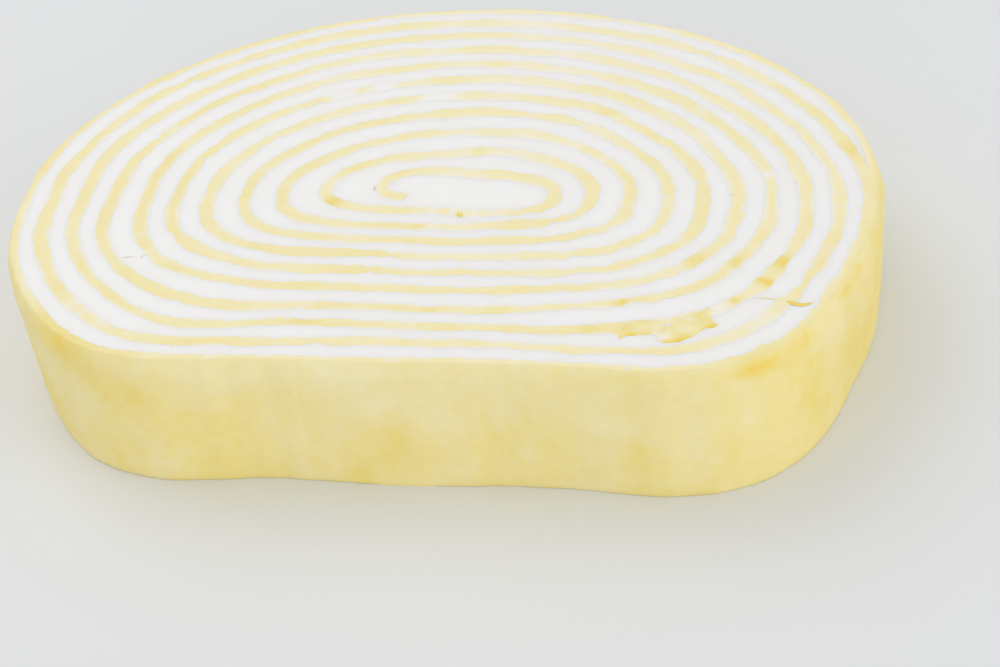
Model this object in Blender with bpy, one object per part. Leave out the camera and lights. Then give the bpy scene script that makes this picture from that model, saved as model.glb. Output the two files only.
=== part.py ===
"""Slice of a rolled mille crepe cake, lying on a cut face.

One long crepe is wound with one layer of cream round a cream heart. The roll was set down
on its side, so it is wider than it is deep and its front is pressed flat.

Turns are counted along the crepe from its inner end, at the left of the heart. Each turn
runs by way of the back, the right and the front to the left again. An angle is measured
from the right side through the back.
"""
import math
from collections import namedtuple

import bmesh
import bpy

MM = 0.001

# The slice and its layers
SLICE_HEIGHT = 15.6 * MM
CREPE_THICKNESS = 1.32 * MM
CREPE_PRESSED_THICKNESS = 1.12 * MM  # where the roll lies on its flat front
LAYER_GAP = 0.3 * MM

# Where the crepe starts and ends, and where its last turn comes down on the turn below
INNER_END_TURN = -0.036
OUTER_END_TURN = 10.565
CLOSING_START_TURN = 10.42
CLOSING_END_TURN = 10.50
END_CURL = 1.75 * MM
END_CURL_SPREAD = 0.016
FLAP_TAPER_TURNS = 0.12
FLAP_EDGE_THICKNESS = 0.35 * MM
CREAM_END_TURN = 9.47  # the cream thins out where the last turn comes down

# How far the crepe's middle line reaches toward each side of the roll. The first line that
# meets a side lies at its first distance, and it can keep that distance for part of a turn.
# Each next line lies a step farther out, and the steps tighten outward.
Reach = namedtuple("Reach", "first_turn first inner_step level_turns step tightening")
LEFT = Reach(1.0, 15.51 * MM, 6.2 * MM, 0.0, 4.43 * MM, 0.061 * MM)
BACK = Reach(0.25, 3.24 * MM, -2.6 * MM, 0.25, 4.43 * MM, 0.075 * MM)
RIGHT = Reach(0.5, 9.68 * MM, 1.4 * MM, 0.0, 4.53 * MM, 0.072 * MM)
FRONT = Reach(0.75, 4.18 * MM, 0.0, 0.25, 2.62 * MM, -0.021 * MM)

# Fullness of the roll's corners: 2 is an ellipse, more is squarer. Round the heart a corner
# is squarer, or rounder, by its extra, which fades over the first turns.
Corner = namedtuple("Corner", "fullness heart_extra heart_turns")
BACK_LEFT = Corner(1.97, 0.6, 0.45)
BACK_RIGHT = Corner(1.80, 0.4, 0.5)
FRONT_RIGHT = Corner(3.40, 0.3, 0.8)
FRONT_LEFT = Corner(3.33, -1.2, 1.0)

# Soft waves of the layers: the place of each, how far it spreads and how far it stands out
Wave = namedtuple("Wave", "angle turn angle_spread turn_spread height")
WAVES = (
    Wave(220, 8.7, 9, 1.5, 3.5 * MM),
    Wave(314, 9.3, 9, 1.1, 2.3 * MM),
    Wave(79, 9.3, 27, 4.1, -2.2 * MM),
    Wave(340, 8.1, 8, 2.9, -1.6 * MM),
    Wave(305, 8.4, 12, 0.8, 0.5 * MM),
    Wave(189, 2.9, 12, 1.6, 0.8 * MM),
    Wave(277, 6.9, 25, 0.7, 0.6 * MM),
    Wave(21, 8.1, 19, 4.0, -1.7 * MM),
    Wave(123, 7.8, 22, 0.8, 0.2 * MM),
    Wave(210, 8.5, 12, 0.8, -1.8 * MM),
    Wave(269, 3.0, 28, 0.9, 0.2 * MM),
    Wave(228, 4.6, 21, 2.2, -0.6 * MM),
    Wave(323, 6.4, 13, 0.5, -0.8 * MM),
    Wave(339, 9.6, 10, 0.5, -0.7 * MM),
    Wave(204, 9.9, 10, 0.4, -1.4 * MM),
)

# Where the crepe tore and folded up into a thicker patch
FOLDS = (Wave(313, 7.63, 5.0, 0.2, 1.4 * MM),)

# The wall of the roll: the outer crepe swells below the upper cut face, and its edges are soft
WALL_SWELL = 0.20 * MM
WALL_LOW = 2.5 * MM
WALL_HIGH = 13.4 * MM
WALL_EDGE_ROUNDING = 0.45 * MM
WALL_FOOT_ROUNDING = 0.15 * MM
WALL_START_TURN = OUTER_END_TURN - 1.0
WALL_BLEND_TURNS = 0.03

# Where the wall sags outward, or draws in, toward the cut face that it stands on
Lean = namedtuple("Lean", "angle spread outward")
LEANS = (
    Lean(195, 13, -0.5 * MM),
    Lean(223, 8, 0.7 * MM),
    Lean(265, 16, 0.7 * MM),
    Lean(315, 14, 0.6 * MM),
    Lean(352, 9, -0.6 * MM),
)

# Cross-sections along the crepe, closer together at the narrow ends of the ovals
SECTIONS_PER_TURN = 72
SECTION_CROWDING = 0.35
HALF_STEP_TURNS = 0.004  # over which the direction of the crepe is taken

CREPE_COLOUR = (0.86, 0.72, 0.33, 1.0)
CREPE_ROUGHNESS = 0.62
CREAM_COLOUR = (0.90, 0.89, 0.86, 1.0)
CREAM_ROUGHNESS = 0.42


def clear_scene():
    for old in list(bpy.data.objects):
        bpy.data.objects.remove(old, do_unlink=True)


def smooth_step(low, high, value):
    t = min(max((value - low) / (high - low), 0.0), 1.0)
    return t * t * (3.0 - 2.0 * t)


def turn_of_section(index):
    """Turn at a section, with sections crowded at the left and right of the roll."""
    phase = index / SECTIONS_PER_TURN
    return phase - SECTION_CROWDING * math.sin(4.0 * math.pi * phase) / (4.0 * math.pi)


def section_at_turn(turn):
    """Last section that lies at or before a turn."""
    index = math.floor((turn - 0.25) * SECTIONS_PER_TURN)
    while turn_of_section(index + 1) <= turn:
        index += 1
    return index


def angle_of_turn(turn):
    return math.pi - 2.0 * math.pi * turn


def reach(side, turn):
    """Distance from the middle of the roll to the crepe on one side."""
    steps = turn - side.first_turn
    if steps < side.level_turns:
        return side.first + side.inner_step * min(steps, 0.0)
    return side.first + side.step * steps - side.tightening * steps * steps


def degrees_from(angle, turn):
    """Signed angle from a direction to a point of the crepe, in degrees."""
    return (math.degrees(angle_of_turn(turn)) - angle + 180.0) % 360.0 - 180.0


def bump(waves, turn):
    """Sum of the soft bumps that lie near a point of the crepe."""
    total = 0.0
    for wave in waves:
        across = degrees_from(wave.angle, turn) / wave.angle_spread
        outward = (turn - wave.turn) / wave.turn_spread
        total += wave.height * math.exp(-0.5 * (across ** 2 + outward ** 2))
    return total


def lean_of_wall(turn):
    """How far the wall's foot stands out from its upper part."""
    total = 0.0
    for lean in LEANS:
        across = degrees_from(lean.angle, turn) / lean.spread
        total += lean.outward * math.exp(-0.5 * across ** 2)
    return total


def fullness_of(corner, turn):
    return corner.fullness + corner.heart_extra * math.exp(-turn / corner.heart_turns)


def free_radius(turn):
    """Distance from the middle of the roll to the crepe's middle line, layer by layer."""
    angle = angle_of_turn(turn)
    cosine = math.cos(angle)
    sine = math.sin(angle)
    sideways = reach(LEFT if cosine < 0.0 else RIGHT, turn)
    lengthways = reach(BACK if sine > 0.0 else FRONT, turn)
    if sine > 0.0:
        corner = BACK_LEFT if cosine < 0.0 else BACK_RIGHT
    else:
        corner = FRONT_LEFT if cosine < 0.0 else FRONT_RIGHT
    fullness = fullness_of(corner, turn)
    oval = (abs(cosine) / sideways) ** fullness + (abs(sine) / lengthways) ** fullness
    curl = END_CURL * math.exp(-max(turn - INNER_END_TURN, 0.0) / END_CURL_SPREAD)
    return oval ** (-1.0 / fullness) + bump(WAVES, turn) - curl


def flap_taper(turn):
    """From 1 where the flap is whole to 0 at its thin end."""
    return smooth_step(OUTER_END_TURN, OUTER_END_TURN - FLAP_TAPER_TURNS, turn)


def crepe_thickness(turn):
    facing_front = max(-math.sin(angle_of_turn(turn)), 0.0)
    pressed = smooth_step(0.6, 0.95, facing_front)
    plain = CREPE_THICKNESS + pressed * (CREPE_PRESSED_THICKNESS - CREPE_THICKNESS)
    plain = FLAP_EDGE_THICKNESS + flap_taper(turn) * (plain - FLAP_EDGE_THICKNESS)
    return plain + bump(FOLDS, turn)


def radius(turn):
    """The middle line of the crepe, whose last stretch lies on the turn below."""
    free = free_radius(turn)
    if turn <= CLOSING_START_TURN:
        return free
    below = free_radius(turn - 1.0)
    halves = 0.5 * (crepe_thickness(turn) + crepe_thickness(turn - 1.0))
    resting = below + halves + LAYER_GAP
    closed = smooth_step(CLOSING_START_TURN, CLOSING_END_TURN, turn)
    return free + closed * (resting - free)


def line_point(turn):
    distance = radius(turn)
    angle = angle_of_turn(turn)
    return distance * math.cos(angle), distance * math.sin(angle)


def beside_line(turn, offset, height):
    """A point square out from the crepe's middle line, at a height."""
    before_x, before_y = line_point(turn - HALF_STEP_TURNS)
    after_x, after_y = line_point(turn + HALF_STEP_TURNS)
    length = math.hypot(after_x - before_x, after_y - before_y)
    x, y = line_point(turn)
    x -= offset * (after_y - before_y) / length
    y += offset * (after_x - before_x) / length
    return x, y, height


def crepe_section(turn):
    """Closed section of the crepe: up its inner face and down its outer one."""
    half = 0.5 * crepe_thickness(turn)
    bare = smooth_step(WALL_START_TURN, WALL_START_TURN + WALL_BLEND_TURNS, turn)
    bare *= flap_taper(turn)
    swollen = half + bare * WALL_SWELL
    lean = bare * lean_of_wall(turn)
    return (
        (-half, 0.0),
        (-half, SLICE_HEIGHT),
        (half - bare * WALL_EDGE_ROUNDING, SLICE_HEIGHT),
        (swollen, WALL_HIGH),
        (swollen + lean * (1.0 - WALL_LOW / WALL_HIGH), WALL_LOW),
        (swollen + lean - bare * WALL_FOOT_ROUNDING, 0.0),
    )


def finish_object(name, mesh_data, colour, roughness):
    """Close the mesh outward and give it a surface of its own."""
    bmesh.ops.recalc_face_normals(mesh_data, faces=mesh_data.faces)
    mesh = bpy.data.meshes.new(name)
    mesh_data.to_mesh(mesh)
    mesh_data.free()
    mesh.shade_smooth()
    mesh.set_sharp_from_angle(angle=math.radians(35.0))
    surface = bpy.data.materials.new(name)
    surface.use_nodes = True
    shader = surface.node_tree.nodes["Principled BSDF"]
    shader.inputs["Base Color"].default_value = colour
    shader.inputs["Roughness"].default_value = roughness
    mesh.materials.append(surface)
    made = bpy.data.objects.new(name, mesh)
    bpy.context.collection.objects.link(made)
    return made


def make_crepe():
    """The whole crepe, from the hook at the heart to the flap that closes the roll."""
    first = section_at_turn(INNER_END_TURN)
    last = section_at_turn(OUTER_END_TURN)
    body = bmesh.new()
    rings = []
    for index in range(first, last + 1):
        turn = turn_of_section(index)
        section = crepe_section(turn)
        rings.append([body.verts.new(beside_line(turn, out, z)) for out, z in section])
    for ring, following in zip(rings, rings[1:]):
        for corner in range(len(ring)):
            nearby = (corner + 1) % len(ring)
            body.faces.new((ring[corner], ring[nearby], following[nearby], following[corner]))
    body.faces.new(rings[0])
    body.faces.new(reversed(rings[-1]))
    return finish_object("crepe", body, CREPE_COLOUR, CREPE_ROUGHNESS)


def cream_side(first, last, outward):
    """Points a small gap clear of one face of the crepe, outer (+1) or inner (-1)."""
    points = []
    for index in range(first, last + 1):
        turn = turn_of_section(index)
        clear = 0.5 * crepe_thickness(turn) + LAYER_GAP
        points.append(beside_line(turn, outward * clear, 0.0))
    return points


def make_cream():
    """The heart and the spiral of cream, which are one body that runs through the slice."""
    wind = SECTIONS_PER_TURN
    first = section_at_turn(INNER_END_TURN) - 1
    last = section_at_turn(CREAM_END_TURN)
    body = bmesh.new()
    heart = body.verts.new((0.0, 0.0, 0.0))
    over = [body.verts.new(point) for point in cream_side(first, last, 1)]
    under = [body.verts.new(point) for point in cream_side(first, last + wind, -1)]
    for index in range(wind - 1):
        body.faces.new((heart, under[index], under[index + 1]))
    body.faces.new((heart, under[wind - 1], under[wind], over[0], under[0]))
    for index in range(len(over) - 1):
        body.faces.new((over[index], over[index + 1], under[index + 1 + wind], under[index + wind]))
    grown = bmesh.ops.extrude_face_region(body, geom=body.faces[:])
    top = [part for part in grown["geom"] if isinstance(part, bmesh.types.BMVert)]
    bmesh.ops.translate(body, verts=top, vec=(0.0, 0.0, SLICE_HEIGHT))
    return finish_object("cream", body, CREAM_COLOUR, CREAM_ROUGHNESS)


def stand_at_origin(pieces):
    """Set the slice down with the middle of its outline over the origin."""
    corners = [vertex.co for piece in pieces for vertex in piece.data.vertices]
    middle_x = 0.5 * (min(c.x for c in corners) + max(c.x for c in corners))
    middle_y = 0.5 * (min(c.y for c in corners) + max(c.y for c in corners))
    for piece in pieces:
        piece.location = (-middle_x, -middle_y, 0.0)


clear_scene()
stand_at_origin([make_crepe(), make_cream()])
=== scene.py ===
"""Looks of a slice of mille crepe roll cake, lying on a cut face with its spiral up.

The crepe and the cream follow the same spiral as their solids, with the ragged cut edges,
the browned skin and the smears of cream that the solids leave out. Turns are counted along
the crepe from its inner end at the left of the heart, by way of the back, the right and
the front. An angle is measured from the right side through the back.
"""

import math
from collections import namedtuple

import bmesh
import bpy
import numpy as np
from mathutils import Matrix, Vector
from mathutils.geometry import delaunay_2d_cdt


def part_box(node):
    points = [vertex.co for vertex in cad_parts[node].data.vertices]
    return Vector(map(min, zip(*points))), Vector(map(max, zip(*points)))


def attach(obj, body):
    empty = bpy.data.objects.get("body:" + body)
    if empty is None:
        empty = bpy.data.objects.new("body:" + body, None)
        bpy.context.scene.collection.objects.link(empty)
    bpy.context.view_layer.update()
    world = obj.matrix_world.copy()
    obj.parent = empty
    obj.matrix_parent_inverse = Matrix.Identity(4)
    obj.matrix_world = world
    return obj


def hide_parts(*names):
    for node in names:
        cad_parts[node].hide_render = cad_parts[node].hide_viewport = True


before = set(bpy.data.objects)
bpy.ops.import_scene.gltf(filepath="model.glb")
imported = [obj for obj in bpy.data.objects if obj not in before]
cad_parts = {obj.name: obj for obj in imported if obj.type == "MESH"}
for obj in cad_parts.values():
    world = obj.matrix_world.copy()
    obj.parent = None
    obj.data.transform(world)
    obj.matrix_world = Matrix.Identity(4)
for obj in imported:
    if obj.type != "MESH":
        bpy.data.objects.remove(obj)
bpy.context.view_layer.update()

MM = 0.001

# ---- the spiral, as in the solids

SLICE_HEIGHT = 15.6 * MM
CREPE_THICKNESS = 1.32 * MM
CREPE_PRESSED_THICKNESS = 1.12 * MM
PRESSED_FACING = (0.6, 0.95)  # how squarely the thinner crepe faces the front
INNER_END_TURN = -0.036
OUTER_END_TURN = 10.565
CLOSING_START_TURN = 10.42
CLOSING_END_TURN = 10.50
END_CURL = 1.75 * MM
END_CURL_SPREAD = 0.016
FLAP_TAPER_TURNS = 0.12
CLOSED_GAP = -0.07 * MM  # the flap is pressed onto the turn below
PRESSED_EDGE_THICKNESS = 0.06 * MM  # and its thin end lies flush on it
HALF_STEP_TURNS = 0.004  # over which the direction of the crepe is taken
OUTLINE_MIDDLE = MM * np.array([-2.83457, 3.88808, 0.0])  # of the slice, from the spiral's middle
low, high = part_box("crepe")
MIDDLE = 0.5 * np.array([low.x + high.x, low.y + high.y, 0.0]) - OUTLINE_MIDDLE

Reach = namedtuple("Reach", "first_turn first inner_step level_turns step tightening")
LEFT = Reach(1.0, 15.51 * MM, 6.2 * MM, 0.0, 4.43 * MM, 0.061 * MM)
BACK = Reach(0.25, 3.24 * MM, -2.6 * MM, 0.25, 4.43 * MM, 0.075 * MM)
RIGHT = Reach(0.5, 9.68 * MM, 1.4 * MM, 0.0, 4.53 * MM, 0.072 * MM)
FRONT = Reach(0.75, 4.18 * MM, 0.0, 0.25, 2.62 * MM, -0.021 * MM)

Corner = namedtuple("Corner", "fullness heart_extra heart_turns")
BACK_LEFT = Corner(1.97, 0.6, 0.45)
BACK_RIGHT = Corner(1.80, 0.4, 0.5)
FRONT_RIGHT = Corner(3.40, 0.3, 0.8)
FRONT_LEFT = Corner(3.33, -1.2, 1.0)

Wave = namedtuple("Wave", "angle level angle_spread level_spread height")

# Soft bumps of the spiral: the angle and the turn of each, its spreads, and its height
WAVES = [Wave(*place, height * MM) for *place, height in (
    (220, 8.7, 9, 1.5, 3.5), (314, 9.3, 9, 1.1, 2.3), (79, 9.3, 27, 4.1, -2.2),
    (340, 8.1, 8, 2.9, -1.6), (305, 8.4, 12, 0.8, 0.5), (189, 2.9, 12, 1.6, 0.8),
    (277, 6.9, 25, 0.7, 0.6), (21, 8.1, 19, 4.0, -1.7), (123, 7.8, 22, 0.8, 0.2),
    (210, 8.5, 12, 0.8, -1.8), (269, 3.0, 28, 0.9, 0.2), (228, 4.6, 21, 2.2, -0.6),
    (323, 6.4, 13, 0.5, -0.8), (339, 9.6, 10, 0.5, -0.7), (204, 9.9, 10, 0.4, -1.4),
)]

# Places where the crepe is folded and thicker
FOLDS = [Wave(*place, height * MM) for *place, height in (
    (313, 7.63, 4.5, 0.2, 0.7), (325, 8.60, 5.0, 0.2, 0.5),
)]

WALL_SWELL = 0.20 * MM
WALL_HIGH = 13.4 * MM
WALL_EDGE_ROUNDING = 0.45 * MM
WALL_FOOT_ROUNDING = 0.15 * MM
WALL_START_TURN = OUTER_END_TURN - 1.0
WALL_BLEND_TURNS = 0.03
OUTER_PIECE_START_TURN = WALL_START_TURN - 0.07  # the wall's form goes on under the flap

# Where the wall's foot stands out or in: the angle, its spread, and how far
LEANS = [Wave(angle, 0.0, spread, math.inf, outward * MM) for angle, spread, outward in (
    (195, 13, -0.5), (223, 8, 0.7), (265, 16, 0.7), (315, 14, 0.6), (352, 9, -0.6),
)]


def smooth_step(low, high, value):
    t = np.clip((value - low) / (high - low), 0.0, 1.0)
    return t * t * (3.0 - 2.0 * t)


def blend(start, end, share):
    return start + share * (end - start)


def angle_of_turn(turn):
    return math.pi - 2.0 * math.pi * turn


def facing_back(turn):
    """From 0 to 1 where the crepe lies at the back of the roll."""
    return np.maximum(np.sin(angle_of_turn(turn)), 0.0)


def facing_front(turn):
    return np.maximum(-np.sin(angle_of_turn(turn)), 0.0)


def reach(side, turn):
    """Distance from the middle of the roll to the crepe on one side."""
    steps = turn - side.first_turn
    inner = side.first + side.inner_step * np.minimum(steps, 0.0)
    outer = side.first + side.step * steps - side.tightening * steps * steps
    return np.where(steps < side.level_turns, inner, outer)


def degrees_from(angle, turn):
    """Signed angle from a direction to points of the crepe, in degrees."""
    return (np.degrees(angle_of_turn(turn)) - angle + 180.0) % 360.0 - 180.0


def bump(waves, turn, height=None):
    """Sum of the soft bumps near each point, whose second place is its turn or its height."""
    level = turn if height is None else height
    total = np.zeros(np.broadcast(turn, level).shape)
    for wave in waves:
        across = degrees_from(wave.angle, turn) / wave.angle_spread
        outward = (level - wave.level) / wave.level_spread
        total += wave.height * np.exp(-0.5 * (across ** 2 + outward ** 2))
    return total


def fullness_of(corner, turn):
    return corner.fullness + corner.heart_extra * np.exp(-turn / corner.heart_turns)


def plain_radius(turn):
    """Distance from the middle of the roll to the crepe's middle line."""
    angle = angle_of_turn(turn)
    cosine = np.cos(angle)
    sine = np.sin(angle)
    left = cosine < 0.0
    back = sine > 0.0
    sideways = np.where(left, reach(LEFT, turn), reach(RIGHT, turn))
    lengthways = np.where(back, reach(BACK, turn), reach(FRONT, turn))
    behind = np.where(left, fullness_of(BACK_LEFT, turn), fullness_of(BACK_RIGHT, turn))
    before = np.where(left, fullness_of(FRONT_LEFT, turn), fullness_of(FRONT_RIGHT, turn))
    fullness = np.where(back, behind, before)
    oval = (np.abs(cosine) / sideways) ** fullness + (np.abs(sine) / lengthways) ** fullness
    curl = END_CURL * np.exp(-np.maximum(turn - INNER_END_TURN, 0.0) / END_CURL_SPREAD)
    return oval ** (-1.0 / fullness) + bump(WAVES, turn) - curl


# ---- noise and arc length

NOISE_LEVELS = 65536
HASH_PRIMES = (73856093, 19349663, 83492791)
Noise = namedtuple("Noise", "seed size amount row sharpness", defaults=(0.0, 1.0))
FLAT = np.array([1.0, 1.0, 0.0])  # takes noise from the same level everywhere


def scattered(cells, seed):
    """A number from -1 to 1 for each whole-number cell, always the same for the same cell."""
    x, y, z = (cells[..., k] * prime for k, prime in enumerate(HASH_PRIMES))
    mixed = x ^ y ^ z ^ (seed * 40503 + 977)  # these numbers only have to mix well
    mixed = (mixed ^ (mixed >> 13)) * 1274126177
    mixed = mixed ^ (mixed >> 16)
    mixed = (mixed * 668265263) ^ (mixed >> 11)
    return (mixed & (NOISE_LEVELS - 1)) / (0.5 * (NOISE_LEVELS - 1)) - 1.0


def lumps(points, size, seed, sharpness=1.0):
    """Noise from -1 to 1 with lumps about one size across. Sharper noise has steps."""
    cells = np.asarray(points) / size
    low = np.floor(cells).astype(np.int64)
    part = smooth_step(0.5 - 0.5 / sharpness, 0.5 + 0.5 / sharpness, cells - low)
    total = np.zeros(cells.shape[:-1])
    for corner in np.ndindex(2, 2, 2):
        offset = np.array(corner)
        weight = np.prod(np.where(offset == 1, part, 1.0 - part), axis=-1)
        total += weight * scattered(low + offset, seed)
    return total


def noise_at(points, layers):
    """The sum of some layers of noise."""
    return sum(n.amount * lumps(points, n.size, n.seed, n.sharpness) for n in layers)


def along(length, row=0.0):
    """Points on a line for noise that runs along the crepe, one line for each row."""
    length = np.asarray(length, dtype=float)
    return np.stack([length, np.full_like(length, row), np.zeros_like(length)], axis=-1)


TABLE_STEPS = 40000
TABLE_TURNS = (INNER_END_TURN - 0.2, OUTER_END_TURN + 0.05)  # past both ends of the crepe
table_turn = np.linspace(*TABLE_TURNS, TABLE_STEPS)
table_radius = plain_radius(np.maximum(table_turn, INNER_END_TURN))
table_x = table_radius * np.cos(angle_of_turn(table_turn))
table_y = table_radius * np.sin(angle_of_turn(table_turn))
table_length = np.concatenate([[0.0], np.cumsum(np.hypot(np.diff(table_x), np.diff(table_y)))])


def length_at(turn):
    """Length of crepe from its inner end to a turn."""
    return np.interp(turn, table_turn, table_length)


def turn_at(length):
    return np.interp(length, table_length, table_turn)


def noise_along(turn, layers, row=0.0):
    """The sum of some layers of noise that run along the crepe, each on a row of its own."""
    length = length_at(turn)
    return sum(noise_at(along(length, layer.row + row), [layer]) for layer in layers)


# ---- the crepe's uneven course

WOBBLE = (
    Noise(1, 6.0 * MM, 0.17 * MM),
    Noise(2, 2.4 * MM, 0.0765 * MM, 3.0),
    Noise(3, 7.0 * MM, 0.11 * MM, 5.0, 7.0),  # small steps where the crepe was torn or pressed
)
OUTER_WOBBLE = 0.25  # how much of it the outer turn has
OUTER_WOBBLE_TURNS = 0.5  # over which the rest of it fades
THICKNESS_UNEVENNESS = (Noise(4, 5.0 * MM, 0.20, 9.0), Noise(5, 2.0 * MM, 0.10, 11.0))


def wobble(turn):
    """How far the crepe strays from its even spiral."""
    inner = smooth_step(WALL_START_TURN, WALL_START_TURN - OUTER_WOBBLE_TURNS, turn)
    return noise_along(turn, WOBBLE) * blend(OUTER_WOBBLE, 1.0, inner)


def flap_taper(turn):
    """From 1 where the flap is whole to 0 at its thin end."""
    return smooth_step(OUTER_END_TURN, OUTER_END_TURN - FLAP_TAPER_TURNS, turn)


def pressed_thickness(turn):
    """The crepe is thinner where the roll lies on its flat front."""
    pressed = smooth_step(*PRESSED_FACING, facing_front(turn))
    return blend(CREPE_THICKNESS, CREPE_PRESSED_THICKNESS, pressed)


def crepe_thickness(turn):
    plain = pressed_thickness(turn) * (1.0 + noise_along(turn, THICKNESS_UNEVENNESS))
    return blend(PRESSED_EDGE_THICKNESS, plain, flap_taper(turn)) + bump(FOLDS, turn)


def free_radius(turn):
    return plain_radius(turn) + wobble(turn)


def slant(turn):
    """How much longer a step from the middle is than the same step square to the crepe."""
    rise = free_radius(turn + HALF_STEP_TURNS) - free_radius(turn - HALF_STEP_TURNS)
    run = 4.0 * math.pi * HALF_STEP_TURNS * free_radius(turn)
    return np.hypot(1.0, rise / run)


def radius(turn):
    """The middle line of the crepe, whose last stretch lies on the turn below."""
    below = np.maximum(turn - 1.0, INNER_END_TURN)
    halves = 0.5 * (crepe_thickness(turn) + crepe_thickness(below))
    resting = free_radius(below) + (halves + CLOSED_GAP) * slant(below)
    closed = smooth_step(CLOSING_START_TURN, CLOSING_END_TURN, turn)
    return blend(free_radius(turn), resting, closed)


def middle_line(turn):
    """Points of the crepe's middle line, from the spiral's middle."""
    angle = angle_of_turn(turn)
    distance = radius(turn)
    return np.stack([distance * np.cos(angle), distance * np.sin(angle)], axis=-1)


def bareness(turn):
    """From 0 where something still covers the outer turn to 1 where it is the wall."""
    return smooth_step(OUTER_PIECE_START_TURN, OUTER_PIECE_START_TURN + WALL_BLEND_TURNS, turn)


def beside_line(turn, offset, height):
    """Points square out from the crepe's middle line: a row for each turn."""
    forward = middle_line(turn + HALF_STEP_TURNS) - middle_line(turn - HALF_STEP_TURNS)
    forward /= np.linalg.norm(forward, axis=-1)[..., None]
    outward = np.stack([-forward[..., 1], forward[..., 0]], axis=-1)
    offset, height = np.broadcast_arrays(offset, height)
    flat = middle_line(turn)[:, None] + offset[..., None] * outward[:, None]
    return np.concatenate([flat, height[..., None]], axis=-1) + MIDDLE


# ---- meshes

END_ANGLE = math.radians(75.0)  # keeps a tube's flat ends apart from the faces round them
GRID_ROW = 0.87  # rows of a triangular grid are closer together than its columns
GRID_CLEARANCE = 0.4  # from the grid to its outline, in columns
SAME_POINT = 1.0e-7


def tube_of(rings):
    """Points and faces of a closed body through rings of points, one for each station."""
    rows, columns = rings.shape[:2]
    points = rings.reshape(-1, 3)
    index = np.arange(rows * columns).reshape(rows, columns)
    following = np.roll(index, -1, axis=1)
    corners = (index[:-1], following[:-1], following[1:], index[1:])
    quads = np.stack(corners, axis=-1).reshape(-1, 4)
    ends = [index[0, ::-1].tolist(), index[-1].tolist()]
    a, b, c, d = (points[quads[:, k]] for k in range(4))
    inside_out = np.sum(a * np.cross(c, d - b)) < 0.0  # by the sign of its volume
    if inside_out:
        quads = quads[:, ::-1]
        ends = [end[::-1] for end in ends]
    return points, quads.tolist() + ends


def contains(outline, spots):
    """Which spots lie inside a closed outline."""
    ends = np.roll(outline, -1, axis=0)
    above = (outline[:, 1] > spots[:, 1:2]) != (ends[:, 1] > spots[:, 1:2])
    rise = np.where(ends[:, 1] == outline[:, 1], 1.0, ends[:, 1] - outline[:, 1])
    crossing = outline[:, 0] + (spots[:, 1:2] - outline[:, 1]) * (ends[:, 0] - outline[:, 0]) / rise
    return np.count_nonzero(above & (spots[:, 0:1] < crossing), axis=1) % 2 == 1


def depth_inside(outline, spots):
    """Distance from each spot to the nearest part of a closed outline."""
    ends = np.roll(outline, -1, axis=0)
    run = ends - outline
    from_start = spots[:, None] - outline
    share = np.clip((from_start * run).sum(axis=2) / (run * run).sum(axis=1), 0.0, 1.0)
    return np.linalg.norm(from_start - share[..., None] * run, axis=2).min(axis=1)


def filled_outline(outline, spacing):
    """A flat plate inside an outline, one unit high: its points, faces and depths inside."""
    low, high = outline.min(axis=0), outline.max(axis=0)
    columns = np.arange(low[0], high[0], spacing)
    rows = np.arange(low[1], high[1], spacing * GRID_ROW)
    x, y = np.meshgrid(columns, rows)
    x = x + 0.5 * spacing * (np.arange(len(rows)) % 2)[:, None]
    spots = np.column_stack([x.ravel(), y.ravel()])
    spots = spots[contains(outline, spots)]
    spots = spots[depth_inside(outline, spots) > GRID_CLEARANCE * spacing]
    corners = [Vector(corner) for corner in np.concatenate([outline, spots]).tolist()]
    around = [(k, (k + 1) % len(outline)) for k in range(len(outline))]
    flat, _, triangles, _, _, _ = delaunay_2d_cdt(corners, around, [], 1, SAME_POINT)
    flat = np.array([corner[:] for corner in flat])
    count = len(flat)
    sides = {(face[k - 1], face[k]) for face in triangles for k in range(len(face))}
    walls = [[b, a, a + count, b + count] for a, b in sides if (b, a) not in sides]
    under = [[corner + count for corner in face[::-1]] for face in triangles]
    points = np.concatenate([np.column_stack([flat, np.full(count, level)]) for level in (1.0, 0.0)])
    return points, [list(face) for face in triangles] + walls + under, depth_inside(outline, flat)


def joined(parts):
    """Several meshes' points and faces as one."""
    all_points, all_faces, start = [], [], 0
    for points, faces in parts:
        all_points.append(points)
        all_faces.extend([[corner + start for corner in face] for face in faces])
        start += len(points)
    return np.concatenate(all_points), all_faces


def add_object(name, data):
    made = bpy.data.objects.new(name, data)
    bpy.context.scene.collection.objects.link(made)
    return made


def make_mesh(name, points, faces, surface, values=None):
    """A smooth mesh object with named values at its points."""
    mesh = bpy.data.meshes.new(name)
    mesh.from_pydata(points.tolist(), [], faces)
    mesh.shade_smooth()
    for label, value in (values or {}).items():
        attribute = mesh.attributes.new(label, "FLOAT", "POINT")
        attribute.data.foreach_set("value", np.asarray(value, np.float32).ravel())
    mesh.materials.append(surface)
    made = add_object(name, mesh)
    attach(made, "root")
    return made


def make_tube(name, rings, surface, values):
    points, faces = tube_of(rings)
    made = make_mesh(name, points, faces, surface, values)
    made.data.set_sharp_from_angle(angle=END_ANGLE)
    return made


# ---- the crepe's cut edges

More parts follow.
